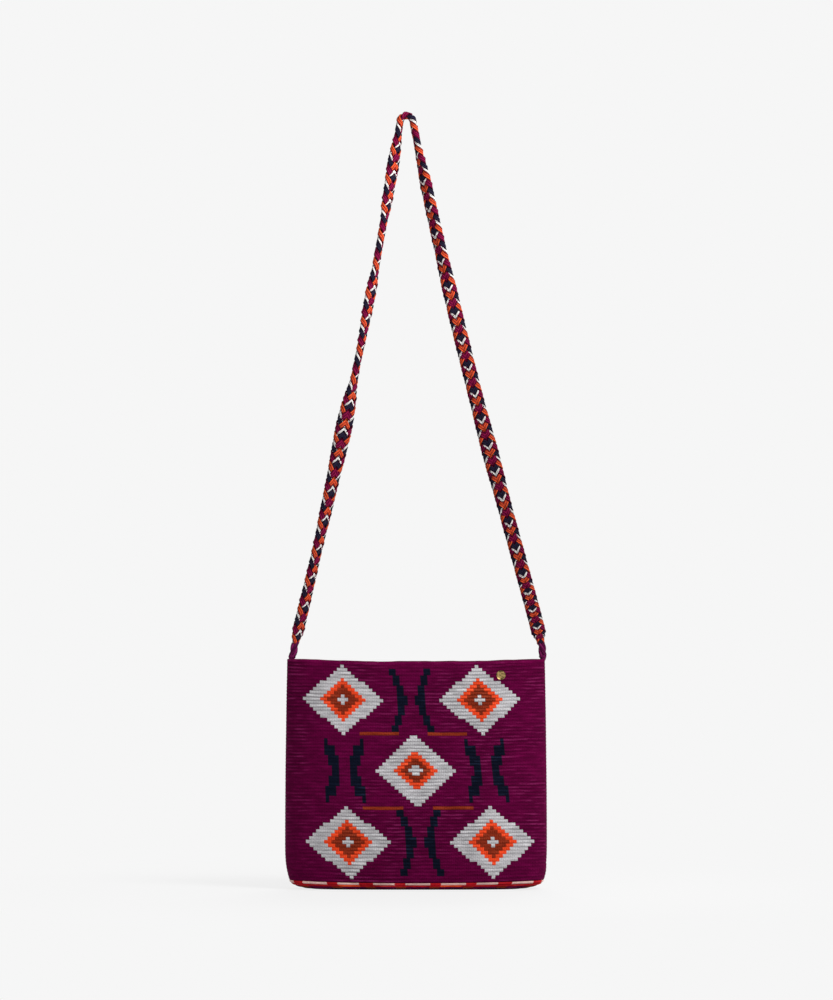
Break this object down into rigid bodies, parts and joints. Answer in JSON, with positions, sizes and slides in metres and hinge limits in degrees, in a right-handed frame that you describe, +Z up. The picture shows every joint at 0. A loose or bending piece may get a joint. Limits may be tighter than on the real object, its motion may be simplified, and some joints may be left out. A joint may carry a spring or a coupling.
{
  "type": "wayuu mochila bag",
  "caption": "Flat crossbody bag in tapestry crochet with an open top, a separate crocheted base and a long plaited strap sewn to its top corners.",
  "frame": {"origin": "middle of the base, on the surface that the bag stands on", "axes": "+Z up, along the strap's rise; the bag's front with the disc faces -Y; the strap's two ends sit at -X and +X"},
  "size_m": [0.261, 0.06, 0.7767],
  "materials": {
    "body_yarn": "crocheted plum cotton with off-white, orange, brown and navy yarns worked in",
    "base_yarn": "crocheted cotton in red, cream, orange, plum and navy",
    "strap_yarn": "plaited cotton yarns in plum, orange, off-white and navy",
    "tab_yarn": "crocheted plum cotton",
    "brass": "polished, lightly worn"
  },
  "bodies": {
    "root": {"bag_body": "body_yarn", "base_panel": "base_yarn", "plaited_strap": "strap_yarn", "strap_tab_left": "tab_yarn", "strap_tab_right": "tab_yarn", "brass_disc": "brass"}
  },
  "joints": []
}
